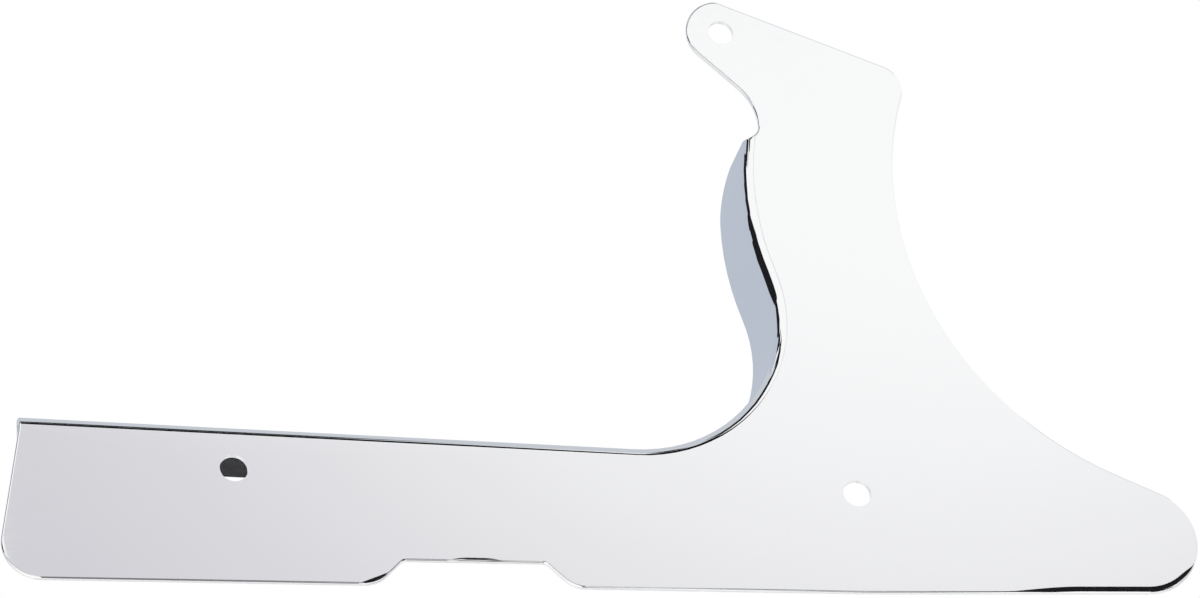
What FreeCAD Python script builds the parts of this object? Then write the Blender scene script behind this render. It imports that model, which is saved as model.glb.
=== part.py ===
"""Rear belt guard of a motorcycle: one steel sheet, cut, punched and folded once along a curved line.

X points to the rear along the arm's fold, Y from the outer face towards the belt, Z up.
The origin is the rear bolt hole's axis on the outer face.
"""
import FreeCAD, Part
import math
import os

import Sketcher
from FreeCAD import Vector

# Driving sizes in millimetres and degrees, with places measured from the rear bolt hole
SIZES = {
    # sheet and fold
    "sheet_thickness": 1.9,
    "bend_inside_radius": 2.0,
    "flange_depth": 34.9,
    "fold_height": 13.6,
    "corner_radius": 50.8,
    "upright_ahead": 23.6,
    "bulge_offset": 8.2,
    "bulge_radius": 108.0,
    "flange_corner_radius": 16.0,
    # neck of the tab and the relief between it and the flange's upper end
    "neck_height": 137.0,
    "neck_radius": 19.05,
    "relief_radius": 4.76,
    "relief_clearance": 0.3,
    # bolt holes
    "bolt_hole_diameter": 9.525,
    "front_hole_ahead": 209.3,
    "front_hole_drop": 2.25,
    "upper_hole_ahead": 36.35,
    "upper_hole_diameter": 8.73,
    # tab, which rises from the neck to its hole
    "tab_rise": 35.05,
    "tab_end_radius": 12.0,
    "tab_top_offset": 10.7,
    "tab_top_slope": 20.1,
    "tab_corner_radius": 4.0,
    "top_corner_radius": 9.5,
    # rear sweep and tail
    "waist_behind": 20.5,
    "sweep_radius": 114.3,
    "tail_reach": 116.35,
    "tail_radius": 19.3,
    "tail_slope": 2.88,
    "tail_top_slope": 22.9,
    # keel, which is the lower edge, and the notch in it
    "keel_drop": 36.25,
    "keel_slope": 1.87,
    "notch_ahead": 154.4,
    "notch_width": 47.6,
    "notch_depth": 8.75,
    "notch_wall_slope": 45.0,
    "notch_mouth_radius": 10.0,
    "notch_root_radius": 2.5,
    # front end, square across the bend and leaning back from it on plate and flange
    "arm_reach": 279.7,
    "end_lean": 9.3,
    "end_blend_radius": 12.7,
    "front_corner_radius": 12.7,
    # polished edges
    "face_edge_radius": 0.6,
    "inner_edge_radius": 0.4,
}

# Sizes that follow from the driving ones, as formulas of the sheet
DERIVED = {
    "bend_radius": "bend_inside_radius + sheet_thickness",
    "tangent_height": "fold_height - bend_radius",
    "corner_tangent_radius": "corner_radius + bend_radius",
    "corner_centre_ahead": "upright_ahead + corner_radius",
    "bulge_tangent_radius": "bulge_radius - bend_radius",
    "bulge_centre_behind": "bulge_radius - upright_ahead - bulge_offset",
    "bulge_rise": "sqrt((corner_radius + bulge_radius)^2 - (bulge_centre_behind + corner_centre_ahead)^2)",
    "bulge_centre_height": "fold_height + corner_radius + bulge_rise",
    "neck_above_bulge": "neck_height - bulge_centre_height",
    "fold_end_ahead": "sqrt(bulge_tangent_radius^2 - neck_above_bulge^2) - bulge_centre_behind",
    "relief_centre_ahead": "fold_end_ahead - relief_clearance + relief_radius",
    "flange_top": "neck_height - relief_radius",
    "relief_reach": "upright_ahead + bulge_offset + bend_radius",
    "upper_hole_height": "neck_height + tab_rise",
    "tail_centre_behind": "tail_reach - tail_radius",
    "tail_floor_drop": "keel_drop - tail_centre_behind * tan(tail_slope * 1 deg)",
    "tail_centre_height": "tail_radius / cos(tail_slope * 1 deg) - tail_floor_drop",
    "sweep_centre_behind": "waist_behind + sweep_radius",
    "sweep_overhang": "(sweep_centre_behind - tail_centre_behind) * sin(tail_top_slope * 1 deg)",
    "sweep_rise": "(tail_radius + sweep_radius - sweep_overhang) / cos(tail_top_slope * 1 deg)",
    "sweep_centre_height": "tail_centre_height + sweep_rise",
    "notch_front_slope": "notch_wall_slope + keel_slope",
    "notch_rear_slope": "notch_wall_slope - keel_slope",
    "end_slope": "90 - end_lean",
    "trim_reach": "arm_reach + bend_radius",
    "trim_depth": "flange_depth + bend_radius",
}

doc = FreeCAD.newDocument("belt_guard")
sheet = doc.addObject("Spreadsheet::Sheet", "Sizes")
for row, (name, entry) in enumerate([*SIZES.items(), *DERIVED.items()], start=1):
    sheet.set(f"A{row}", name)
    sheet.set(f"B{row}", str(entry) if name in SIZES else f"={entry}")
    sheet.setAlias(f"B{row}", name)
doc.recompute()

body = doc.addObject("PartDesign::Body", "BeltGuard")
body.Label = "belt_guard"
PLANES = {feature.Role: feature for feature in body.Origin.OriginFeatures}

# Points of a sketch's geometry, and the sketch's own origin and upright axis
START, END, CENTRE = range(1, 4)
ORIGIN = (-1, 1)
UPRIGHT_AXIS = -2


def size(name):
    """Value of one cell of the sheet, driving or derived."""
    return float(sheet.get(name))


# Points and edges in a sketch's plane
def polar(centre, radius, angle):
    """Point at an angle in degrees on a circle."""
    return centre + radius * Vector(math.cos(math.radians(angle)), math.sin(math.radians(angle)))


def heading(start, end):
    """Direction in degrees from one point to another."""
    return math.degrees(math.atan2(end.y - start.y, end.x - start.x))


def crossing(first, first_angle, second, second_angle):
    """Point where two lines meet, each given by a point and a direction in degrees."""
    along = polar(Vector(), 1, first_angle)
    other = polar(Vector(), 1, second_angle)
    gap = second - first
    return first + along * ((gap.x * other.y - gap.y * other.x) / (along.x * other.y - along.y * other.x))


def entry_point(start, angle, centre, radius):
    """Point where a line from a start in a direction first meets a circle."""
    along = polar(Vector(), 1, angle)
    nearest = along.dot(centre - start)
    offset = (centre - start - along * nearest).Length
    return start + along * (nearest - math.sqrt(radius ** 2 - offset ** 2))


def cross_tangent(centre, radius, other_centre, other_radius):
    """Direction in degrees from a circle's centre to where a crossing tangent to another circle starts."""
    reach = (other_centre - centre).Length
    return heading(centre, other_centre) - math.degrees(math.acos((radius + other_radius) / reach))


def line(start, end):
    """Straight edge between two points."""
    return Part.LineSegment(start, end)


def arc(centre, radius, start_angle, end_angle):
    """Round edge, anticlockwise between two angles in degrees."""
    circle = Part.Circle(centre, Vector(0, 0, 1), radius)
    return Part.ArcOfCircle(circle, math.radians(start_angle), math.radians(end_angle))


# Sketches whose dimensions read the sheet
def new_sketch(name, plane):
    """Empty sketch on one of the body's planes."""
    sketch = body.newObject("Sketcher::SketchObject", name)
    sketch.AttachmentSupport = [(PLANES[plane], "")]
    sketch.MapMode = "FlatFace"
    return sketch


def draw(sketch, pieces, closed=True):
    """Join edges end to end. A piece is its geometry, whether it runs forwards and whether it flows on."""
    ids = [sketch.addGeometry(geometry, False) for geometry, _, _ in pieces]
    ends = [(START, END) if forwards else (END, START) for _, forwards, _ in pieces]
    joints = len(ids) if closed else len(ids) - 1
    for here in range(joints):
        after = (here + 1) % len(ids)
        kind = "Tangent" if pieces[here][2] else "Coincident"
        tie(sketch, kind, ids[here], ends[here][1], ids[after], ends[after][0])
    return ids


def tie(sketch, kind, *target):
    """Add one constraint, with its number, to a sketch."""
    return sketch.addConstraint(Sketcher.Constraint(kind, *target))


def dimension(sketch, kind, *target):
    """Bind one dimension of a sketch to the cell whose name comes last. A leading minus turns its sign."""
    *refs, name = target
    sign = "-" if name.startswith("-") else ""
    cell = name.lstrip("-")
    unit = " * 1 deg" if kind == "Angle" else ""
    value = math.radians(size(cell)) if kind == "Angle" else size(cell)
    index = tie(sketch, kind, *refs, -value if sign else value)
    sketch.setExpression(f"Constraints[{index}]", f"{sign}Sizes.{cell}{unit}")


def ahead(sketch, geometry, point, name):
    """Hold a point in front of the rear hole."""
    dimension(sketch, "DistanceX", geometry, point, *ORIGIN, name)


def behind(sketch, geometry, point, name):
    """Hold a point behind the rear hole."""
    dimension(sketch, "DistanceX", *ORIGIN, geometry, point, name)


def above(sketch, geometry, point, name):
    """Hold a point above the rear hole."""
    dimension(sketch, "DistanceY", *ORIGIN, geometry, point, name)


def below(sketch, geometry, point, name):
    """Hold a point below the rear hole."""
    dimension(sketch, "DistanceY", geometry, point, *ORIGIN, name)


# Places that several sketches start from
fold_end = Vector(-size("fold_end_ahead"), size("neck_height"))
neck = fold_end + Vector(size("relief_clearance"), 0)
upper_hole = Vector(-size("upper_hole_ahead"), size("upper_hole_height"))
arm_end = Vector(-size("arm_reach"), size("tangent_height"))


def fold_pieces():
    """Line where the plate ends and the bend starts: down the bulge, round the corner, along the arm."""
    corner_centre = Vector(-size("corner_centre_ahead"), size("fold_height") + size("corner_radius"))
    bulge_centre = Vector(size("bulge_centre_behind"), size("bulge_centre_height"))
    turn = heading(corner_centre, bulge_centre)
    arm_start = polar(corner_centre, size("corner_tangent_radius"), -90)
    bulge = arc(bulge_centre, size("bulge_tangent_radius"), heading(bulge_centre, fold_end), 180 + turn)
    corner = arc(corner_centre, size("corner_tangent_radius"), -90, turn)
    return [(bulge, True, True), (corner, False, True), (line(arm_start, arm_end), True, False)]


def hold_fold(sketch, bulge, corner, arm):
    """Dimensions of the line of the bend, the same in each sketch that has it."""
    dimension(sketch, "Radius", bulge, "bulge_tangent_radius")
    behind(sketch, bulge, CENTRE, "bulge_centre_behind")
    above(sketch, bulge, START, "neck_height")
    dimension(sketch, "Radius", corner, "corner_tangent_radius")
    ahead(sketch, corner, CENTRE, "corner_centre_ahead")
    tie(sketch, "Horizontal", arm)
    above(sketch, arm, END, "tangent_height")
    ahead(sketch, arm, END, "arm_reach")


def plate_outline():
    """Flat plate as far as the bend, with sharp corners, anticlockwise from the arm's lower edge."""
    keel = Vector(0, -size("keel_drop"))
    keel_slope = size("keel_slope")
    notch_line = polar(keel, size("notch_depth"), keel_slope + 90)
    root_front = crossing(notch_line, keel_slope, Vector(-size("notch_ahead"), 0), 90)
    root_rear = polar(root_front, size("notch_width"), keel_slope)
    mouth_front = crossing(keel, keel_slope, root_front, size("notch_front_slope"))
    mouth_rear = crossing(keel, keel_slope, root_rear, -size("notch_rear_slope"))

    end_lean = size("end_lean")
    blend_radius = size("end_blend_radius")
    front_radius = size("front_corner_radius")
    blend_centre = arm_end - Vector(blend_radius, 0)
    blend_foot = polar(blend_centre, blend_radius, -end_lean)
    inner_keel = polar(keel, front_radius, keel_slope + 90)
    inner_end = polar(blend_foot, front_radius, -end_lean)
    front_centre = crossing(inner_keel, keel_slope, inner_end, size("end_slope"))

    tail_radius = size("tail_radius")
    tail_slope = size("tail_slope")
    sweep_radius = size("sweep_radius")
    sweep_centre = Vector(size("sweep_centre_behind"), size("sweep_centre_height"))
    tail_centre = Vector(size("tail_centre_behind"), size("tail_centre_height"))
    tail_top = 90 - size("tail_top_slope")
    tail_tip = polar(tail_centre, tail_radius, tail_top)
    sweep_foot = polar(sweep_centre, -sweep_radius, tail_top)

    tab_radius = size("tab_end_radius")
    tab_slope = size("tab_top_slope")
    neck_radius = size("neck_radius")
    neck_centre = neck - Vector(neck_radius, 0)
    tab_turn = cross_tangent(upper_hole, tab_radius, neck_centre, neck_radius)
    tab_foot = polar(upper_hole, tab_radius, tab_turn)
    neck_top = polar(neck_centre, -neck_radius, tab_turn)
    hump_angle = 90 - tab_slope + math.degrees(math.acos(size("tab_top_offset") / tab_radius))
    hump = polar(upper_hole, tab_radius, hump_angle)
    top_corner = entry_point(hump, -tab_slope, sweep_centre, sweep_radius)

    sketch = new_sketch("PlateOutline", "XZ_Plane")
    (arm_keel, front_wall, root, rear_wall, body_keel, tail_keel, tail, tail_line, sweep, tab_top, tab_end,
     tab_line, neck_arc, step, bulge, corner, arm, blend, front_line, front) = draw(sketch, [
        (line(polar(front_centre, front_radius, keel_slope - 90), mouth_front), True, False),
        (line(mouth_front, root_front), True, False),
        (line(root_front, root_rear), True, False),
        (line(root_rear, mouth_rear), True, False),
        (line(mouth_rear, keel), True, False),
        (line(keel, polar(tail_centre, tail_radius, tail_slope - 90)), True, True),
        (arc(tail_centre, tail_radius, tail_slope - 90, tail_top), True, True),
        (line(sweep_foot, tail_tip), False, True),
        (arc(sweep_centre, sweep_radius, heading(sweep_centre, top_corner), tail_top + 180), False, False),
        (line(hump, top_corner), False, False),
        (arc(upper_hole, tab_radius, hump_angle, tab_turn), True, True),
        (line(tab_foot, neck_top), True, True),
        (arc(neck_centre, neck_radius, 0, tab_turn - 180), False, False),
        (line(neck, fold_end), True, False),
        *fold_pieces(),
        (arc(blend_centre, blend_radius, -end_lean, 0), False, True),
        (line(polar(front_centre, -front_radius, -end_lean), blend_foot), False, True),
        (arc(front_centre, front_radius, 180 - end_lean, 270 + keel_slope), True, True),
    ])

    tie(sketch, "Parallel", arm_keel, body_keel)
    tie(sketch, "PointOnObject", arm_keel, END, body_keel)
    tie(sketch, "Parallel", root, body_keel)
    ahead(sketch, root, START, "notch_ahead")
    dimension(sketch, "Distance", root, "notch_width")
    dimension(sketch, "Distance", root, START, body_keel, "notch_depth")
    dimension(sketch, "Angle", front_wall, "notch_front_slope")
    dimension(sketch, "Angle", rear_wall, "-notch_rear_slope")
    tie(sketch, "PointOnObject", body_keel, END, UPRIGHT_AXIS)
    below(sketch, body_keel, END, "keel_drop")
    dimension(sketch, "Angle", body_keel, "keel_slope")
    dimension(sketch, "Angle", tail_keel, "tail_slope")
    dimension(sketch, "Radius", tail, "tail_radius")
    behind(sketch, tail, CENTRE, "tail_centre_behind")
    dimension(sketch, "Radius", sweep, "sweep_radius")
    behind(sketch, sweep, CENTRE, "sweep_centre_behind")
    dimension(sketch, "Angle", tail_line, "-tail_top_slope")
    dimension(sketch, "Angle", tab_top, "-tab_top_slope")
    dimension(sketch, "Distance", tab_end, CENTRE, tab_top, "tab_top_offset")
    dimension(sketch, "Radius", tab_end, "tab_end_radius")
    ahead(sketch, tab_end, CENTRE, "upper_hole_ahead")
    above(sketch, tab_end, CENTRE, "upper_hole_height")
    dimension(sketch, "Radius", neck_arc, "neck_radius")
    tie(sketch, "Horizontal", neck_arc, CENTRE, neck_arc, START)
    tie(sketch, "Horizontal", step)
    dimension(sketch, "DistanceX", step, END, step, START, "relief_clearance")
    hold_fold(sketch, bulge, corner, arm)
    dimension(sketch, "Radius", blend, "end_blend_radius")
    tie(sketch, "Horizontal", blend, CENTRE, blend, END)
    dimension(sketch, "Angle", front_line, "end_slope")
    dimension(sketch, "Radius", front, "front_corner_radius")
    corners = {"mouths": (mouth_front, mouth_rear), "roots": (root_front, root_rear), "hump": (hump,),
               "top": (top_corner,)}
    return sketch, corners


def fold_path():
    """Path of the fold, which is the edge of the flat plate."""
    sketch = new_sketch("FoldPath", "XZ_Plane")
    hold_fold(sketch, *draw(sketch, fold_pieces(), closed=False))
    return sketch


def fold_section():
    """Section of the fold across the arm: a quarter bend and the flange's wall."""
    thickness = size("sheet_thickness")
    inside = size("bend_inside_radius")
    outside = size("bend_radius")
    depth = size("flange_depth")
    top = size("fold_height")
    centre = Vector(outside, size("tangent_height"))
    sketch = new_sketch("FoldSection", "YZ_Plane")
    sketch.setExpression(".AttachmentOffset.Base.z", "-Sizes.arm_reach")
    root, inner, under, edge, over, outer = draw(sketch, [
        (line(centre - Vector(outside, 0), centre - Vector(inside, 0)), True, False),
        (arc(centre, inside, 90, 180), False, True),
        (line(Vector(outside, top - thickness), Vector(depth, top - thickness)), True, False),
        (line(Vector(depth, top - thickness), Vector(depth, top)), True, False),
        (line(Vector(depth, top), Vector(outside, top)), True, True),
        (arc(centre, outside, 90, 180), True, False),
    ])
    tie(sketch, "Horizontal", root)
    tie(sketch, "PointOnObject", root, START, UPRIGHT_AXIS)
    above(sketch, root, START, "tangent_height")
    tie(sketch, "Horizontal", under)
    tie(sketch, "Vertical", edge)
    tie(sketch, "Horizontal", over)
    tie(sketch, "Coincident", inner, CENTRE, outer, CENTRE)
    tie(sketch, "Horizontal", outer, CENTRE, root, END)
    dimension(sketch, "Radius", inner, "bend_inside_radius")
    dimension(sketch, "Radius", outer, "bend_radius")
    behind(sketch, edge, END, "flange_depth")
    return sketch


def relief_slot():
    """Round-ended slot that frees the flange's upper end from the neck, open to the front."""
    radius = size("relief_radius")
    centre = Vector(-size("relief_centre_ahead"), size("neck_height"))
    reach = -size("relief_centre_ahead") - size("relief_reach")
    corners = [Vector(reach, centre.y + radius), Vector(reach, centre.y - radius)]
    sketch = new_sketch("ReliefSlot", "XZ_Plane")
    end, upper, mouth, lower = draw(sketch, [
        (arc(centre, radius, -90, 90), True, True),
        (line(centre + Vector(0, radius), corners[0]), True, False),
        (line(*corners), True, False),
        (line(corners[1], centre - Vector(0, radius)), True, True),
    ])
    dimension(sketch, "Radius", end, "relief_radius")
    ahead(sketch, end, CENTRE, "relief_centre_ahead")
    above(sketch, end, CENTRE, "neck_height")
    tie(sketch, "Horizontal", upper)
    tie(sketch, "Vertical", mouth)
    tie(sketch, "Horizontal", lower)
    dimension(sketch, "DistanceX", upper, END, upper, START, "relief_reach")
    return sketch


def flange_trim():
    """Waste at the flange's front end, seen from above: it blends out of the square bend and leans back."""
    radius = size("end_blend_radius")
    square_end = Vector(-size("arm_reach"), size("bend_radius"))
    centre = square_end + Vector(radius, 0)
    lean_start = polar(centre, radius, 180 - size("end_lean"))
    lean_end = crossing(lean_start, size("end_slope"), Vector(0, size("trim_depth")), 0)
    far_corner = Vector(-size("trim_reach"), size("trim_depth"))
    near_corner = Vector(-size("trim_reach"), size("bend_radius"))
    sketch = new_sketch("FlangeTrim", "XY_Plane")
    blend, lean, back, front, _ = draw(sketch, [
        (arc(centre, radius, 180 - size("end_lean"), 180), False, True),
        (line(lean_start, lean_end), True, False),
        (line(lean_end, far_corner), True, False),
        (line(far_corner, near_corner), True, False),
        (line(near_corner, square_end), True, False),
    ])
    dimension(sketch, "Radius", blend, "end_blend_radius")
    tie(sketch, "Horizontal", blend, CENTRE, blend, END)
    ahead(sketch, blend, END, "arm_reach")
    above(sketch, blend, END, "bend_radius")
    dimension(sketch, "Angle", lean, "end_slope")
    tie(sketch, "Horizontal", back)
    tie(sketch, "Vertical", front)
    ahead(sketch, back, END, "trim_reach")
    above(sketch, back, END, "trim_depth")
    above(sketch, front, END, "bend_radius")
    return sketch


def bolt_holes():
    """The three holes that the guard is bolted through."""
    up = Vector(0, 0, 1)
    front_hole = Vector(-size("front_hole_ahead"), -size("front_hole_drop"))
    bolt_radius = size("bolt_hole_diameter") / 2
    sketch = new_sketch("BoltHoles", "XZ_Plane")
    rear = sketch.addGeometry(Part.Circle(Vector(), up, bolt_radius), False)
    front = sketch.addGeometry(Part.Circle(front_hole, up, bolt_radius), False)
    upper = sketch.addGeometry(Part.Circle(upper_hole, up, size("upper_hole_diameter") / 2), False)
    tie(sketch, "Coincident", rear, CENTRE, *ORIGIN)
    dimension(sketch, "Diameter", rear, "bolt_hole_diameter")
    tie(sketch, "Equal", rear, front)
    ahead(sketch, front, CENTRE, "front_hole_ahead")
    below(sketch, front, CENTRE, "front_hole_drop")
    dimension(sketch, "Diameter", upper, "upper_hole_diameter")
    ahead(sketch, upper, CENTRE, "upper_hole_ahead")
    above(sketch, upper, CENTRE, "upper_hole_height")
    return sketch


# Features of the body
def cut_through(name, sketch):
    """Cut a sketch's area through the whole sheet, square to the sketch."""
    before = body.Shape.Volume
    pocket = body.newObject("PartDesign::Pocket", name)
    pocket.Profile = sketch
    pocket.SideType = "Symmetric"
    pocket.Type = "ThroughAll"
    doc.recompute()
    if not body.Shape.Volume < before:
        raise RuntimeError(f"{name} cut nothing")


def round_edges(name, edges, radius):
    """Round some edges of the body, given by their names, to a radius of the sheet."""
    fillet = body.newObject("PartDesign::Fillet", name)
    fillet.Base = (fillet.BaseFeature, edges)
    fillet.setExpression("Radius", f"Sizes.{radius}")
    doc.recompute()


def edges_near(points):
    """Names of the short edges through the sheet that lie nearest to some points."""
    middles = [edge.CenterOfMass for edge in body.Shape.Edges]
    nearest = [min(middles, key=point.distanceToPoint) for point in points]
    return [f"Edge{middles.index(middle) + 1}" for middle in nearest]


def normal_near(face, point):
    """Outward normal of a face at the place nearest to a point."""
    return face.normalAt(*face.Surface.parameter(point))


def skin_rim(depth):
    """Names of the edges round one side of the sheet, starting from the plate's face at a depth."""
    shape = body.Shape
    flat = [f for f in shape.Faces if abs(f.BoundBox.YMin - depth) + abs(f.BoundBox.YMax - depth) < 1e-6]
    skin = [max(flat, key=lambda f: f.Area)]
    rim = []
    for face in skin:
        for edge in face.OuterWire.Edges:
            other = next(f for f in shape.ancestorsOfType(edge, Part.Face) if not f.isSame(face))
            middle = edge.valueAt((edge.FirstParameter + edge.LastParameter) / 2)
            if normal_near(face, middle).getAngle(normal_near(other, middle)) > math.radians(20):
                rim.append(edge)
            elif not any(other.isSame(known) for known in skin):
                skin.append(other)
    return [f"Edge{i + 1}" for i, edge in enumerate(shape.Edges) if any(edge.isSame(r) for r in rim)]


outline, corners = plate_outline()
plate = body.newObject("PartDesign::Pad", "Plate")
plate.Profile = outline
plate.setExpression("Length", "Sizes.sheet_thickness")
plate.Reversed = True
doc.recompute()

section = fold_section()
path = fold_path()
fold = body.newObject("PartDesign::AdditivePipe", "Fold")
fold.Profile = section
fold.Spine = (path, [f"Edge{i + 1}" for i in range(len(path.Shape.Edges))])
doc.recompute()

cut_through("Relief", relief_slot())
cut_through("FlangeEnd", flange_trim())
cut_through("Holes", bolt_holes())

# Corners of the sheet, at the middle of its thickness
half = size("sheet_thickness") / 2
lean_back = (size("flange_depth") - size("bend_radius")) * math.tan(math.radians(size("end_lean")))
flange_front = Vector(lean_back - size("arm_reach"), size("flange_depth"), size("fold_height") - half)
top_over_bulge = size("flange_top") - size("bulge_centre_height")
flange_top_x = size("bulge_centre_behind") - math.sqrt(size("bulge_radius") ** 2 - top_over_bulge ** 2)
flange_upper = Vector(flange_top_x + half, size("flange_depth"), size("flange_top"))


def in_plate(points):
    """Points of the plate's outline, moved to the middle of the sheet."""
    return [Vector(p.x, half, p.y) for p in points]


round_edges("NotchMouth", edges_near(in_plate(corners["mouths"])), "notch_mouth_radius")
round_edges("NotchRoot", edges_near(in_plate(corners["roots"])), "notch_root_radius")
round_edges("TabHump", edges_near(in_plate(corners["hump"])), "tab_corner_radius")
round_edges("TopCorner", edges_near(in_plate(corners["top"])), "top_corner_radius")
round_edges("FlangeCorners", edges_near([flange_front, flange_upper]), "flange_corner_radius")
round_edges("FaceEdges", skin_rim(0), "face_edge_radius")
round_edges("InnerEdges", skin_rim(size("sheet_thickness")), "inner_edge_radius")

# Every feature is sound before the part is written
for item in doc.Objects:
    if "Invalid" in item.State or "Error" in item.State:
        raise RuntimeError(f"{item.Name} is in state {item.State}")
for item in [body, *body.Group]:
    if item.Shape.isNull() or not item.Shape.isValid():
        raise RuntimeError(f"{item.Name} has no valid shape")
if len(body.Shape.Solids) != 1:
    raise RuntimeError("the sheet is not one solid")

os.makedirs("parts", exist_ok=True)
body.Shape.exportStep("parts/belt_guard.step")
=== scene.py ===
"""Looks of the rear belt guard: one chrome-plated folded sheet in a plain white studio.

Lengths are metres in the part's own frame: X to the rear, Y from the outer face to the belt, Z up.
"""
import logging
import math
from dataclasses import dataclass, field
from enum import Enum
from typing import Union

import bpy
from mathutils import Matrix, Vector

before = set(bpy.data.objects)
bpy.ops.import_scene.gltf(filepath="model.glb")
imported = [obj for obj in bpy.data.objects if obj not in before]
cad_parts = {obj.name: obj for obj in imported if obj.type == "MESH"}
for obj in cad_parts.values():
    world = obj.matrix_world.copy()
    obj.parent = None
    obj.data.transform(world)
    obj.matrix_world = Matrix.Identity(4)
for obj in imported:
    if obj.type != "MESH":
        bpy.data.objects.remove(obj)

LOG = logging.getLogger("belt_guard")
MM = 0.001

# Direction from the outer face into the sheet
DEPTH = (0.0, 1.0, 0.0)

# Planes of the studio, and of the flags just inside its walls and just behind its softbox
FRONT = -2.5
LEFT = -2.6
RIGHT = 2.6
BACK = 2.6
CEILING = 3.6
FLAG_GAP = 0.02
WALL_FLAG = LEFT + FLAG_GAP
CEILING_FLAG = CEILING - FLAG_GAP
BEHIND_SOFTBOX = FRONT - 0.06

# Upper end of the stands in front of the part
STAND_TOP = 0.95

# What a socket can be fed with
Source = Union[bpy.types.NodeSocket, float, tuple[float, ...]]


class Tone(Enum):
    """Colours of the studio's panels, in linear light."""

    BLACK = (0.012, 0.012, 0.014)
    DARK_GREY = (0.2, 0.2, 0.21)
    STEEL_BLUE = (0.5, 0.55, 0.63)
    PALE_GREY = (0.59, 0.62, 0.67)
    LILAC_GREY = (0.66, 0.65, 0.69)
    WHITE = (1.0, 1.0, 1.0)


@dataclass(frozen=True)
class BuffedRim:
    """Stretch of the outer face's rim that buffing has rolled over, beyond the round of the solid.

    Attributes:
        centre: X and Z of the centre of the band's round, far off where the band is nearly straight.
        radius: Distance from there to the rim.
        towards: Direction in degrees, from +X to +Z, in which the rim is rolled over most.
        fade: Cosines of the turn from that direction at which the roll ends and is full.
        width: Width of the rolled band.
        roll: Radius of the roll.
        run: Length of the straight rim before the round that is rolled over too.
        slope: Slope of that straight rim in degrees.
    """

    centre: tuple[float, float]
    radius: float
    towards: float
    fade: tuple[float, float]
    width: float
    roll: float
    run: float = 0.0
    slope: float = 0.0


# Rims that the photograph shows rolled over. At the notch a wide round stands in for a nearly straight rim.
TAIL_RIM = BuffedRim(
    centre=(97.05 * MM, -12.04 * MM), radius=19.3 * MM, towards=-75.0, fade=(0.5, 0.9),
    width=2.4 * MM, roll=4 * MM, run=60 * MM, slope=2.88,
)
NOTCH_MOUTH_RIM = BuffedRim(
    centre=(-291.3 * MM, 241.5 * MM), radius=310 * MM, towards=-65.6, fade=(0.999, 0.9995),
    width=1.9 * MM, roll=1.6 * MM,
)
NOTCH_TOP_RIM = BuffedRim(
    centre=(-150.2 * MM, 568.0 * MM), radius=600 * MM, towards=-88.13, fade=(0.99981, 1.0),
    width=1.5 * MM, roll=6 * MM,
)


@dataclass(frozen=True)
class ChromeFinish:
    """Bright plating on a buffed show side, with a plainer inner side and sheared edges.

    Attributes:
        name: Name of the material.
        bright: Colour of the buffed plating.
        plain: Colour of the inner side, which is plated and not buffed.
        bright_roughness: Roughness of the buffed plating.
        plain_roughness: Roughness of the inner side.
        edge_roughness: Roughness of the cut edges.
        edge_frost: Share of light that the sheared grain of the cut edges scatters all round.
        thickness: Depth of the plate's cut edges behind its outer face.
        haze: Share of roughness that the buffing marks add.
        ripple_height: Height of the sheet's slow waves.
        mark_height: Height of the buffing marks.
        rims: Stretches of the rim that buffing has rolled over.
    """

    name: str = "chrome_sheet"
    bright: tuple[float, float, float] = (0.94, 0.945, 0.95)
    plain: tuple[float, float, float] = (0.84, 0.85, 0.86)
    bright_roughness: float = 0.035
    plain_roughness: float = 0.12
    edge_roughness: float = 0.3
    edge_frost: float = 0.7
    thickness: float = 1.9 * MM
    haze: float = 0.05
    ripple_height: float = 0.02 * MM
    mark_height: float = 0.0004 * MM
    rims: tuple[BuffedRim, ...] = (TAIL_RIM, NOTCH_MOUTH_RIM, NOTCH_TOP_RIM)


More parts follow.
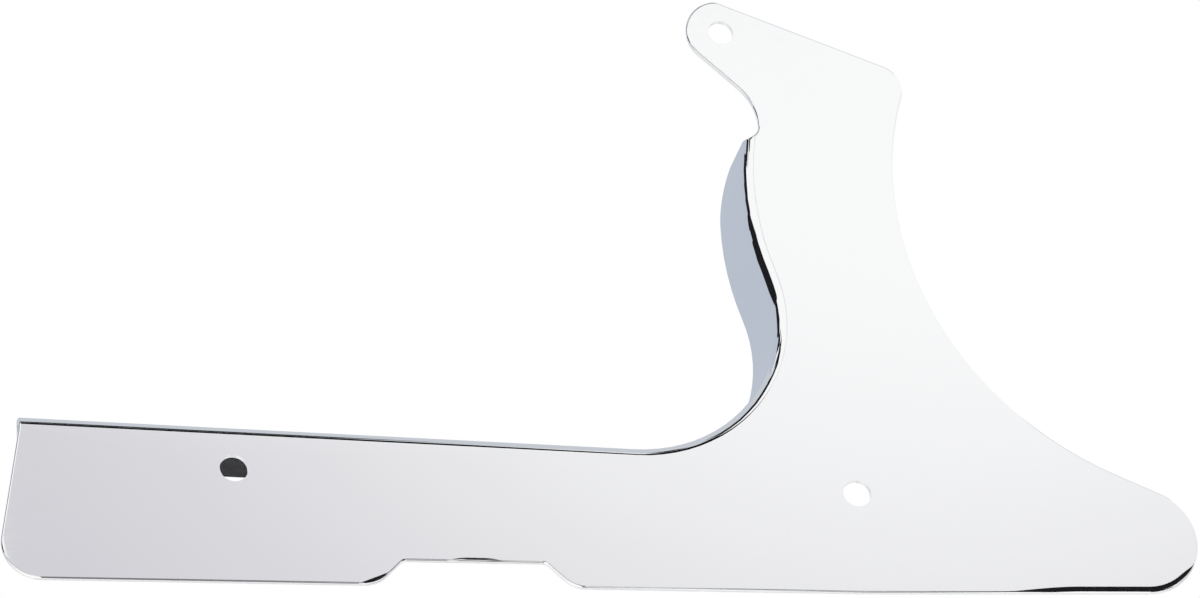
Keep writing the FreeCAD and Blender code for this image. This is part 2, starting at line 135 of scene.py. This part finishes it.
class Nodes:
    """Short way to place and link the nodes of one tree."""

    def __init__(self, tree: bpy.types.NodeTree) -> None:
        """Start from an empty tree.

        Args:
            tree: Tree of a material, a world or a node group.
        """
        self.tree = tree
        self.tree.nodes.clear()

    def add(self, kind: str, **settings: object) -> bpy.types.Node:
        """Place a node.

        Args:
            kind: Blender's name for the node's type.
            settings: Properties of the node to set.

        Returns:
            The new node.
        """
        node = self.tree.nodes.new(kind)
        for name, value in settings.items():
            setattr(node, name, value)
        return node

    def feed(self, target: bpy.types.NodeSocket, source: Source) -> None:
        """Link a socket to another, or set its value.

        Args:
            target: Input socket.
            source: Output socket, or a plain value.
        """
        if isinstance(source, bpy.types.NodeSocket):
            self.tree.links.new(source, target)
        else:
            target.default_value = source

    def math(self, operation: str, *inputs: Source) -> bpy.types.NodeSocket:
        """Place a Math node.

        Args:
            operation: Name of the operation.
            inputs: Sockets or numbers, in order.

        Returns:
            The result's socket.
        """
        node = self.add("ShaderNodeMath", operation=operation)
        for socket, value in zip(node.inputs, inputs):
            self.feed(socket, value)
        return node.outputs[0]

    def ramp(self, value: Source, low: Source, high: Source) -> bpy.types.NodeSocket:
        """Map a value smoothly to 0..1.

        Args:
            value: Socket to read.
            low: Socket or number that gives 0.
            high: Socket or number that gives 1.

        Returns:
            The result's socket.
        """
        node = self.add("ShaderNodeMapRange", interpolation_type="SMOOTHSTEP")
        for socket, entry in zip(node.inputs, (value, low, high)):
            self.feed(socket, entry)
        return node.outputs[0]

    def dot(self, vector: Source, direction: Source) -> bpy.types.NodeSocket:
        """Measure a vector along a direction.

        Args:
            vector: Socket to read.
            direction: Socket or unit direction.

        Returns:
            The result's socket.
        """
        node = self.add("ShaderNodeVectorMath", operation="DOT_PRODUCT")
        self.feed(node.inputs[0], vector)
        self.feed(node.inputs[1], direction)
        return node.outputs["Value"]

    def vector(self, operation: str, first: Source, second: Source) -> bpy.types.NodeSocket:
        """Place a Vector Math node that gives a vector.

        Args:
            operation: Name of the operation.
            first: Socket or vector.
            second: Socket or vector.

        Returns:
            The result's socket.
        """
        node = self.add("ShaderNodeVectorMath", operation=operation)
        self.feed(node.inputs[0], first)
        self.feed(node.inputs[1], second)
        return node.outputs["Vector"]

    def noise(self, position: Source, scale: float, detail: float) -> bpy.types.NodeSocket:
        """Place a noise texture.

        Args:
            position: Socket with the place to read it at.
            scale: Waves per metre.
            detail: Number of finer octaves.

        Returns:
            The socket of its value, about 0.5 on average.
        """
        node = self.add("ShaderNodeTexNoise", noise_dimensions="3D")
        self.feed(node.inputs["Vector"], position)
        self.feed(node.inputs["Scale"], scale)
        self.feed(node.inputs["Detail"], detail)
        return node.outputs["Fac"]

    def blend(self, factor: Source, first: Source, second: Source) -> bpy.types.NodeSocket:
        """Mix two colours.

        Args:
            factor: Share of the second colour.
            first: Socket or colour at 0.
            second: Socket or colour at 1.

        Returns:
            The result's socket.
        """
        node = self.add("ShaderNodeMix", data_type="RGBA")
        self.feed(node.inputs["Factor"], factor)
        self.feed(node.inputs["A"], first)
        self.feed(node.inputs["B"], second)
        return node.outputs["Result"]


def opaque(colour: tuple[float, float, float]) -> tuple[float, float, float, float]:
    """Colour with full alpha."""
    return (*colour, 1.0)


def heading(angle: float) -> tuple[float, float, float]:
    """Direction in the plate's plane, at an angle in degrees from +X to +Z."""
    return (math.cos(math.radians(angle)), 0.0, math.sin(math.radians(angle)))


class PlatingGroups:
    """Shader node groups for what a plated and buffed sheet shows.

    Attributes:
        MARK_STRETCH: Scale of the buffing marks on each axis, long along the sheet.
        MARK_NOISE: Waves per metre and finer octaves of the buffing marks.
        MARK_FADE: Values of that noise at which a mark's haze begins and is full.
        CLOUD_NOISE: Waves per metre and finer octaves of the patches of haze.
        CLOUD_FADE: Values of that noise at which a patch begins and is full.
        CLEAR_SHARE: Share of haze in the clearest patches.
        SLOW_NOISE: Waves per metre and finer octaves of the sheet's slow waves.
        INNER_FACING: Direction that the inner sides of the plate and of the flange all turn towards.
        INNER_FADE: Cosines from that direction between which the inner side begins.
        EDGE_FADE: Cosines from the plate's normal between which a cut edge begins.
        RUN_FADE: Share of a straight rim, next to its round, that has the full roll.
    """

    MARK_STRETCH = (0.04, 1.0, 1.0)
    MARK_NOISE = (2600.0, 2.0)
    MARK_FADE = (0.35, 0.75)
    CLOUD_NOISE = (38.0, 3.0)
    CLOUD_FADE = (0.3, 0.7)
    CLEAR_SHARE = 0.35
    SLOW_NOISE = (22.0, 1.0)
    INNER_FACING = (1 / math.sqrt(3), 1 / math.sqrt(3), -1 / math.sqrt(3))
    INNER_FADE = (0.05, 0.25)
    EDGE_FADE = (0.4, 0.1)
    RUN_FADE = 0.4

    def __init__(self) -> None:
        """Build each group once."""
        self.marks = self._buffing_marks()
        self.sides = self._sheet_sides()
        self.rim = self._buffed_rim()

    @staticmethod
    def _new(
        name: str, inputs: dict[str, str], outputs: dict[str, str]
    ) -> tuple[Nodes, bpy.types.Node, bpy.types.Node]:
        """Make an empty group with its sockets.

        Args:
            name: Name of the group.
            inputs: Socket type of each named input.
            outputs: Socket type of each named output.

        Returns:
            Its nodes, its input node and its output node.
        """
        tree = bpy.data.node_groups.new(name, "ShaderNodeTree")
        for in_out, sockets in (("INPUT", inputs), ("OUTPUT", outputs)):
            for socket, kind in sockets.items():
                tree.interface.new_socket(socket, in_out=in_out, socket_type=kind)
        nodes = Nodes(tree)
        return nodes, nodes.add("NodeGroupInput"), nodes.add("NodeGroupOutput")

    def _buffing_marks(self) -> bpy.types.NodeTree:
        """Group of fine marks along the sheet, a soft haze between them and the sheet's slow waves.

        Returns:
            The group.
        """
        nodes, given, out = self._new(
            "BuffingMarks",
            {
                "Position": "NodeSocketVector", "Mark Height": "NodeSocketFloat",
                "Wave Height": "NodeSocketFloat",
            },
            {"Haze": "NodeSocketFloat", "Height": "NodeSocketFloat"},
        )
        position = given.outputs["Position"]
        marks = nodes.noise(nodes.vector("MULTIPLY", position, self.MARK_STRETCH), *self.MARK_NOISE)
        cloud = nodes.noise(position, *self.CLOUD_NOISE)
        waves = nodes.noise(position, *self.SLOW_NOISE)
        clear = self.CLEAR_SHARE
        patches = nodes.math("MULTIPLY_ADD", nodes.ramp(cloud, *self.CLOUD_FADE), 1.0 - clear, clear)
        haze = nodes.math("MULTIPLY", nodes.ramp(marks, *self.MARK_FADE), patches)
        fine = nodes.math("MULTIPLY", marks, given.outputs["Mark Height"])
        slow = nodes.math("MULTIPLY", waves, given.outputs["Wave Height"])
        nodes.feed(out.inputs["Haze"], haze)
        nodes.feed(out.inputs["Height"], nodes.math("ADD", fine, slow))
        return nodes.tree

    def _sheet_sides(self) -> bpy.types.NodeTree:
        """Group that tells the inner side and the plate's cut edges from the buffed outer side.

        Returns:
            The group.
        """
        nodes, given, out = self._new(
            "SheetSides",
            {"Position": "NodeSocketVector", "Normal": "NodeSocketVector", "Thickness": "NodeSocketFloat"},
            {"Inner": "NodeSocketFloat", "Edge": "NodeSocketFloat"},
        )
        normal = given.outputs["Normal"]
        inner = nodes.ramp(nodes.dot(normal, self.INNER_FACING), *self.INNER_FADE)
        depth = nodes.dot(given.outputs["Position"], DEPTH)
        in_plate = nodes.math("LESS_THAN", depth, given.outputs["Thickness"])
        face_on = nodes.math("ABSOLUTE", nodes.dot(normal, DEPTH))
        sideways = nodes.ramp(face_on, *self.EDGE_FADE)
        edge = nodes.math("MULTIPLY", sideways, in_plate)
        nodes.feed(out.inputs["Edge"], edge)
        nodes.feed(out.inputs["Inner"], nodes.math("MULTIPLY", inner, nodes.math("SUBTRACT", 1.0, edge)))
        return nodes.tree

    def _buffed_rim(self) -> bpy.types.NodeTree:
        """Group that lowers a band along a round of the outline and the straight rim before it.

        Returns:
            The group.
        """
        nodes, given, out = self._new(
            "BuffedRim",
            {
                "Position": "NodeSocketVector", "Centre": "NodeSocketVector",
                "Run Direction": "NodeSocketVector", "Towards": "NodeSocketVector",
                "Radius": "NodeSocketFloat", "Run": "NodeSocketFloat",
                "Fade Start": "NodeSocketFloat", "Fade End": "NodeSocketFloat", "Width": "NodeSocketFloat",
                "Roll": "NodeSocketFloat", "Depth Limit": "NodeSocketFloat",
            },
            {"Height": "NodeSocketFloat"},
        )
        value = given.outputs
        from_centre = nodes.vector("SUBTRACT", value["Position"], value["Centre"])
        in_plane = nodes.vector("MULTIPLY", from_centre, (1.0, 0.0, 1.0))
        along = nodes.dot(in_plane, value["Run Direction"])
        back = nodes.math("MULTIPLY", value["Run"], -1.0)
        on_run = nodes.math("MINIMUM", nodes.math("MAXIMUM", along, back), 0.0)
        foot = nodes.add("ShaderNodeVectorMath", operation="SCALE")
        nodes.feed(foot.inputs[0], value["Run Direction"])
        nodes.feed(foot.inputs["Scale"], on_run)
        outwards = nodes.vector("SUBTRACT", in_plane, foot.outputs["Vector"])
        length = nodes.add("ShaderNodeVectorMath", operation="LENGTH")
        nodes.feed(length.inputs[0], outwards)
        reach = length.outputs["Value"]

        turn = nodes.math("DIVIDE", nodes.dot(outwards, value["Towards"]), reach)
        share = nodes.ramp(turn, value["Fade Start"], value["Fade End"])
        full = nodes.math("MULTIPLY", back, self.RUN_FADE)
        share = nodes.math("MULTIPLY", share, nodes.ramp(along, back, full))
        outer = nodes.math("LESS_THAN", nodes.dot(value["Position"], DEPTH), value["Depth Limit"])
        width = nodes.math("MULTIPLY", nodes.math("MULTIPLY", value["Width"], share), outer)
        inset = nodes.math("MAXIMUM", nodes.math("SUBTRACT", value["Radius"], reach), 0.0)
        into_band = nodes.math("MAXIMUM", nodes.math("SUBTRACT", width, inset), 0.0)
        rolled = nodes.math("MINIMUM", into_band, value["Roll"])
        square = nodes.math("DIVIDE", nodes.math("MULTIPLY", rolled, rolled), value["Roll"])
        straight = nodes.math("SUBTRACT", into_band, rolled)
        drop = nodes.math("MULTIPLY_ADD", square, 0.5, straight)
        nodes.feed(out.inputs["Height"], nodes.math("MULTIPLY", drop, -1.0))
        return nodes.tree


class ChromePlating:
    """Material of the plated sheet."""

    def __init__(self, finish: ChromeFinish, groups: PlatingGroups) -> None:
        """Hold the finish and the groups that it uses.

        Args:
            finish: Colours and roughness of the plating.
            groups: Shader node groups.
        """
        self.finish = finish
        self.groups = groups

    def build(self) -> bpy.types.Material:
        """Make the material.

        Returns:
            The material.
        """
        finish = self.finish
        material = bpy.data.materials.new(finish.name)
        material.use_nodes = True
        nodes = Nodes(material.node_tree)
        place = nodes.add("ShaderNodeTexCoord").outputs["Object"]
        facing = nodes.add("ShaderNodeNewGeometry").outputs["Normal"]

        marks = nodes.add("ShaderNodeGroup", node_tree=self.groups.marks)
        nodes.feed(marks.inputs["Position"], place)
        nodes.feed(marks.inputs["Mark Height"], finish.mark_height)
        nodes.feed(marks.inputs["Wave Height"], finish.ripple_height)
        sides = nodes.add("ShaderNodeGroup", node_tree=self.groups.sides)
        nodes.feed(sides.inputs["Position"], place)
        nodes.feed(sides.inputs["Normal"], facing)
        nodes.feed(sides.inputs["Thickness"], finish.thickness)
        inner = sides.outputs["Inner"]

        roughness = nodes.math("MULTIPLY_ADD", marks.outputs["Haze"], finish.haze, finish.bright_roughness)
        for share, level in ((inner, finish.plain_roughness), (sides.outputs["Edge"], finish.edge_roughness)):
            roughness = nodes.math("MULTIPLY_ADD", share, level - finish.bright_roughness, roughness)
        height = marks.outputs["Height"]
        for rim in finish.rims:
            height = nodes.math("ADD", height, self._rim_height(nodes, place, rim))
        bump = nodes.add("ShaderNodeBump")
        nodes.feed(bump.inputs["Strength"], 1.0)
        nodes.feed(bump.inputs["Distance"], 1.0)
        nodes.feed(bump.inputs["Height"], height)

        shader = nodes.add("ShaderNodeBsdfPrincipled")
        edge = sides.outputs["Edge"]
        nodes.feed(shader.inputs["Metallic"], nodes.math("MULTIPLY_ADD", edge, -finish.edge_frost, 1.0))
        colour = nodes.blend(inner, opaque(finish.bright), opaque(finish.plain))
        nodes.feed(shader.inputs["Base Color"], colour)
        nodes.feed(shader.inputs["Roughness"], roughness)
        nodes.feed(shader.inputs["Normal"], bump.outputs["Normal"])
        output = nodes.add("ShaderNodeOutputMaterial")
        nodes.feed(output.inputs["Surface"], shader.outputs["BSDF"])
        return material

    def _rim_height(self, nodes: Nodes, place: bpy.types.NodeSocket, rim: BuffedRim) -> bpy.types.NodeSocket:
        """Measure how far one rim is rolled over.

        Args:
            nodes: Nodes of the material.
            place: Socket of the position on the sheet.
            rim: The stretch of rim.

        Returns:
            The height's socket.
        """
        group = nodes.add("ShaderNodeGroup", node_tree=self.groups.rim)
        # Without a run its direction points outwards, so that the whole band lies past it with its full roll
        run_heading = rim.slope if rim.run else rim.towards
        settings = {
            "Position": place, "Centre": (rim.centre[0], 0.0, rim.centre[1]),
            "Run Direction": heading(run_heading), "Towards": heading(rim.towards), "Radius": rim.radius,
            "Run": max(rim.run, MM), "Fade Start": rim.fade[0], "Fade End": rim.fade[1], "Width": rim.width,
            "Roll": rim.roll, "Depth Limit": self.finish.thickness / 2,
        }
        for name, value in settings.items():
            nodes.feed(group.inputs[name], value)
        return group.outputs["Height"]


@dataclass
class GuardSheet:
    """The guard itself: one folded sheet, carried over from the solid.

    Attributes:
        node: Name of the solid.
        weld: Distance within which the borders of its faces are joined.
        sharp_angle: Turn between two faces above which their border stays sharp.
        area_weight: Weight of a face's area in the shading of its borders.
        finish: Finish of the sheet.
    """

    node: str = "belt_guard"
    weld: float = 0.001 * MM
    sharp_angle: float = math.radians(40)
    area_weight: int = 100
    finish: ChromeFinish = field(default_factory=ChromeFinish)

    def build(self) -> bpy.types.Object:
        """Join the borders of the solid's faces, so that its rounds shade as one surface with the flats.

        Returns:
            The solid's own object.
        """
        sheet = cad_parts[self.node]
        sheet.data.shade_smooth()
        weld = sheet.modifiers.new("joined_borders", "WELD")
        weld.merge_threshold = self.weld
        rims = sheet.modifiers.new("sharp_rims", "EDGE_SPLIT")
        rims.split_angle = self.sharp_angle
        normals = sheet.modifiers.new("flat_faces_first", "WEIGHTED_NORMAL")
        normals.mode = "FACE_AREA"
        normals.weight = self.area_weight
        return sheet

    def dress(self, sheet: bpy.types.Object, groups: PlatingGroups) -> None:
        """Give the sheet its plating.

        Args:
            sheet: The solid's object.
            groups: Shader node groups of the plating.
        """
        sheet.data.materials.clear()
        sheet.data.materials.append(ChromePlating(self.finish, groups).build())


@dataclass(frozen=True)
class Panel:
    """An upright or level panel of the studio that only shows as a reflection in the chrome.

    Attributes:
        name: Name of the panel.
        low: Its lowest corner on each axis.
        high: Its highest corner, equal to the lowest on the axis that the panel faces along.
        tone: Its colour.
    """

    name: str
    low: tuple[float, float, float]
    high: tuple[float, float, float]
    tone: Tone

    def build(self) -> bpy.types.Object:
        """Make the panel with its own light and hide it from the camera.

        Returns:
            The panel.
        """
        ends = (Vector(self.low), Vector(self.high))
        across, along = (axis for axis in range(3) if self.low[axis] != self.high[axis])
        corners = []
        for first, second in ((0, 0), (1, 0), (1, 1), (0, 1)):
            corner = ends[0].copy()
            corner[across] = ends[first][across]
            corner[along] = ends[second][along]
            corners.append(corner)
        mesh = bpy.data.meshes.new(self.name)
        mesh.from_pydata(corners, [], [(0, 1, 2, 3)])
        mesh.materials.append(self._light())
        panel = bpy.data.objects.new(self.name, mesh)
        panel.visible_camera = False
        panel.visible_diffuse = False
        panel.visible_shadow = False
        bpy.context.scene.collection.objects.link(panel)
        return panel

    def _light(self) -> bpy.types.Material:
        """Make the panel's material, which gives its own light.

        Returns:
            The material.
        """
        material = bpy.data.materials.new(self.name)
        material.use_nodes = True
        nodes = Nodes(material.node_tree)
        light = nodes.add("ShaderNodeEmission")
        nodes.feed(light.inputs["Color"], self._colour(nodes))
        output = nodes.add("ShaderNodeOutputMaterial")
        nodes.feed(output.inputs["Surface"], light.outputs["Emission"])
        return material

    def _colour(self, nodes: Nodes) -> Source:
        """Give the same colour all over.

        Args:
            nodes: Nodes of the panel's material.

        Returns:
            The colour.
        """
        return opaque(self.tone.value)


@dataclass(frozen=True)
class Softbox(Panel):
    """A panel whose light fades round its hot spot.

    Attributes:
        rim: Colour far from the hot spot.
        hot_spot: Place of the strongest light.
        even_reach: Distance from the hot spot at which the light starts to fade.
        fade_reach: Distance at which it has the rim's colour.
    """

    rim: Tone = Tone.LILAC_GREY
    hot_spot: tuple[float, float, float] = (0.75, FRONT, 1.65)
    even_reach: float = 0.2
    fade_reach: float = 0.85

    def _colour(self, nodes: Nodes) -> Source:
        """Fade from the panel's colour to the rim's.

        Args:
            nodes: Nodes of the panel's material.

        Returns:
            The colour's socket.
        """
        reach = nodes.add("ShaderNodeVectorMath", operation="DISTANCE")
        nodes.feed(reach.inputs[0], nodes.add("ShaderNodeTexCoord").outputs["Object"])
        nodes.feed(reach.inputs[1], self.hot_spot)
        fade = nodes.ramp(reach.outputs["Value"], self.even_reach, self.fade_reach)
        return nodes.blend(fade, opaque(self.tone.value), opaque(self.rim.value))


@dataclass(frozen=True)
class Post:
    """A stand in front of the part, with a foot that runs towards it just above the floor.

    Attributes:
        name: Name of the stand.
        left: Its left side.
        right: Its right side.
        tone: Its colour.
        bottom: Lower end of the stand.
        foot_height: Height of the foot.
        foot_end: Place where the foot ends, near the part.
        foot_shift: Distance of the foot to the left of the stand.
    """

    name: str
    left: float
    right: float
    tone: Tone
    bottom: float = -1.6
    foot_height: float = -1.6
    foot_end: float = 0.2
    foot_shift: float = 0.085

    def panels(self) -> tuple[Panel, Panel]:
        """Give the stand and its foot.

        Returns:
            An upright panel and a level one.
        """
        stand_low = (self.left, FRONT, self.bottom)
        stand = Panel(self.name, stand_low, (self.right, FRONT, STAND_TOP), self.tone)
        foot_low = (self.left - self.foot_shift, FRONT, self.foot_height)
        foot_high = (self.right - self.foot_shift, self.foot_end, self.foot_height)
        return stand, Panel(f"{self.name}_foot", foot_low, foot_high, self.tone)


# Softbox that the plate reflects, and the room's walls and ceiling
ROOM_PANELS = (
    Softbox("softbox", (0.1, FRONT, 1.02), (RIGHT, FRONT, 1.68), Tone.WHITE),
    Panel("left_wall", (LEFT, -1.0, -0.6), (LEFT, BACK, CEILING), Tone.STEEL_BLUE),
    Panel("back_wall", (LEFT, BACK, -0.3), (2.0, BACK, CEILING), Tone.STEEL_BLUE),
    Panel("ceiling", (LEFT, FRONT, CEILING), (RIGHT, BACK, CEILING), Tone.PALE_GREY),
)

# Flags for the dark line along the fold: on the arm, round the inner corner and up the upright
FOLD_FLAGS = (
    Panel("dark_surround", (0.1, BEHIND_SOFTBOX, 1.6), (0.75, BEHIND_SOFTBOX, CEILING), Tone.BLACK),
    Panel("ceiling_flag", (0.3, FRONT, CEILING_FLAG), (0.62, -1.4, CEILING_FLAG), Tone.BLACK),
    Panel("corner_wall_flag", (WALL_FLAG, FRONT, 2.55), (WALL_FLAG, -1.7, CEILING), Tone.BLACK),
    Panel("corner_side_flag", (WALL_FLAG, FRONT, 2.35), (-1.1, FRONT, CEILING), Tone.BLACK),
    Panel("corner_front_flag", (-1.1, FRONT, 2.95), (0.1, FRONT, CEILING), Tone.BLACK),
    Panel("corner_ceiling_flag", (-2.1, FRONT, CEILING_FLAG), (-0.1, -1.5, CEILING_FLAG), Tone.BLACK),
    Panel("upright_flag", (WALL_FLAG, -1.0, 1.0), (WALL_FLAG, 0.45, 1.95), Tone.BLACK),
    Panel("upright_low_flag", (WALL_FLAG, -1.7, 0.1), (WALL_FLAG, BACK, 1.0), Tone.BLACK),
    Panel("upright_top_flag", (WALL_FLAG, -1.7, 1.95), (WALL_FLAG, -0.4, 2.55), Tone.BLACK),
)

# Other flags, and stands whose reflections darken the lower rims
RIM_FLAGS = (
    Panel("low_flag", (-1.9, FRONT, -0.3), (-0.2, FRONT, 0.45), Tone.DARK_GREY),
    Panel("back_low_flag", (-0.3, BACK, -1.69), (0.9, BACK, -1.0), Tone.BLACK),
    *Post("arm_post", 0.1, 0.393, Tone.DARK_GREY).panels(),
    *Post("notch_post", 0.393, 0.44, Tone.BLACK).panels(),
    Panel("upper_link", (0.44, FRONT, 0.45), (0.575, FRONT, 0.8), Tone.BLACK),
    *Post("keel_post", 0.575, 0.665, Tone.BLACK).panels(),
    Panel("lower_link", (0.665, FRONT, -0.15), (0.8, FRONT, 0.45), Tone.BLACK),
    *Post("tail_post", 0.8, 1.95, Tone.BLACK).panels(),
    *Post("outer_tail_post", 1.95, RIGHT, Tone.BLACK, bottom=-0.95).panels(),
    Panel("tail_side_flag", (RIGHT, FRONT, -0.5), (4.0, FRONT, 0.6), Tone.DARK_GREY),
)


@dataclass(frozen=True)
class Lamp:
    """A soft square lamp that points at the part, out of sight of the camera and the chrome.

    Attributes:
        name: Name of the lamp.
        place: Its place.
        width: Its width.
        power: Its power in watts.
    """

    name: str
    place: tuple[float, float, float]
    width: float
    power: float

    def build(self) -> bpy.types.Object:
        """Hang the lamp.

        Returns:
            The lamp.
        """
        data = bpy.data.lights.new(self.name, "AREA")
        data.size = self.width
        data.energy = self.power
        lamp = bpy.data.objects.new(self.name, data)
        lamp.location = self.place
        lamp.rotation_euler = (-Vector(self.place)).to_track_quat("-Z", "Y").to_euler()
        lamp.visible_camera = False
        lamp.visible_glossy = False
        bpy.context.scene.collection.objects.link(lamp)
        return lamp


@dataclass
class Studio:
    """White room with a pale floor far below the part, soft lamps and panels for the chrome to reflect.

    Attributes:
        floor_height: Height of the floor, below the camera.
        floor_reach: Half of the floor's width.
        floor_colour: Colour of the floor.
        floor_roughness: Roughness of the floor.
        room_light: Level of the even light in the room.
        panels: What stands round the part for its chrome to reflect.
        lamps: Lamps that light the floor and the cut edges.
    """

    floor_height: float = -1.7
    floor_reach: float = 60.0
    floor_colour: tuple[float, float, float] = (0.86, 0.86, 0.86)
    floor_roughness: float = 0.9
    room_light: float = 0.8
    panels: tuple[Panel, ...] = (*ROOM_PANELS, *FOLD_FLAGS, *RIM_FLAGS)
    lamps: tuple[Lamp, ...] = (
        Lamp("key_lamp", (-1.2, -1.6, 2.8), 2.0, 90.0),
        Lamp("fill_lamp", (1.8, 1.4, 2.4), 2.0, 45.0),
    )

    def build(self) -> None:
        """Make the room, the panels and the lamps."""
        self._room()
        self._floor()
        for panel in self.panels:
            panel.build()
        for lamp in self.lamps:
            lamp.build()

    def _room(self) -> None:
        """White surroundings for the eye and the chrome, with a plain level of light on the rest."""
        world = bpy.data.worlds.new("white_room")
        bpy.context.scene.world = world
        world.use_nodes = True
        nodes = Nodes(world.node_tree)
        path = nodes.add("ShaderNodeLightPath").outputs
        seen = nodes.math("MAXIMUM", path["Is Camera Ray"], path["Is Glossy Ray"])
        seen = nodes.math("MAXIMUM", seen, path["Is Transmission Ray"])
        background = nodes.add("ShaderNodeBackground")
        nodes.feed(background.inputs["Color"], opaque(Tone.WHITE.value))
        nodes.feed(
            background.inputs["Strength"],
            nodes.math("MULTIPLY_ADD", seen, 1.0 - self.room_light, self.room_light),
        )
        output = nodes.add("ShaderNodeOutputWorld")
        nodes.feed(output.inputs["Surface"], background.outputs["Background"])

    def _floor(self) -> bpy.types.Object:
        """Pale floor that is clear from below.

        Returns:
            The floor.
        """
        reach = self.floor_reach
        corners = [(-reach, -reach, 0), (reach, -reach, 0), (reach, reach, 0), (-reach, reach, 0)]
        mesh = bpy.data.meshes.new("floor")
        mesh.from_pydata(corners, [], [(0, 1, 2, 3)])
        floor = bpy.data.objects.new("floor", mesh)
        floor.location.z = self.floor_height
        bpy.context.scene.collection.objects.link(floor)

        material = bpy.data.materials.new("pale_floor")
        material.use_nodes = True
        nodes = Nodes(material.node_tree)
        paint = nodes.add("ShaderNodeBsdfPrincipled")
        nodes.feed(paint.inputs["Base Color"], opaque(self.floor_colour))
        nodes.feed(paint.inputs["Roughness"], self.floor_roughness)
        nodes.feed(paint.inputs["Specular IOR Level"], 0.0)
        mix = nodes.add("ShaderNodeMixShader")
        nodes.feed(mix.inputs[0], nodes.add("ShaderNodeNewGeometry").outputs["Backfacing"])
        nodes.feed(mix.inputs[1], paint.outputs["BSDF"])
        nodes.feed(mix.inputs[2], nodes.add("ShaderNodeBsdfTransparent").outputs["BSDF"])
        output = nodes.add("ShaderNodeOutputMaterial")
        nodes.feed(output.inputs["Surface"], mix.outputs[0])
        mesh.materials.append(material)
        return floor


@dataclass(frozen=True)
class PhotoCamera:
    """Camera at the photograph's viewing angle, in front of the part and well below it.

    Attributes:
        place: Its place.
        right: Image's right.
        up: Image's up.
        lens_mm: Focal length.
        sensor_mm: Width of the sensor.
        reach: Distance up to which the camera sees.
    """

    place: tuple[float, float, float] = (-0.6718, -2.3905, -1.1998)
    right: tuple[float, float, float] = (0.9757, -0.2132, -0.0506)
    up: tuple[float, float, float] = (-0.0538, -0.4573, 0.8877)
    lens_mm: float = 250.0
    sensor_mm: float = 36.0
    reach: float = 200.0

    def build(self) -> bpy.types.Object:
        """Place the camera and make it the scene's.

        Returns:
            The camera.
        """
        data = bpy.data.cameras.new("photo_camera")
        data.lens = self.lens_mm
        data.sensor_width = self.sensor_mm
        data.sensor_fit = "HORIZONTAL"
        data.clip_end = self.reach
        right = Vector(self.right).normalized()
        back = right.cross(Vector(self.up)).normalized()
        turn = Matrix((right, back.cross(right), back)).transposed().to_4x4()
        camera = bpy.data.objects.new("photo_camera", data)
        camera.matrix_world = Matrix.Translation(self.place) @ turn
        bpy.context.scene.collection.objects.link(camera)
        bpy.context.scene.camera = camera
        return camera


def main() -> None:
    """Dress the guard and set it in the studio."""
    logging.basicConfig(level=logging.INFO, format="%(name)s: %(message)s")
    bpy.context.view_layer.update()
    bpy.context.scene.view_settings.view_transform = "Standard"

    guard = GuardSheet()
    sheet = guard.build()
    guard.dress(sheet, PlatingGroups())
    LOG.info("sheet %s, %d faces", sheet.name, len(sheet.data.polygons))

    studio = Studio()
    studio.build()
    LOG.info("studio with %d panels and %d lamps", len(studio.panels), len(studio.lamps))
    LOG.info("camera %s", PhotoCamera().build().name)


if __name__ == "__main__":
    main()
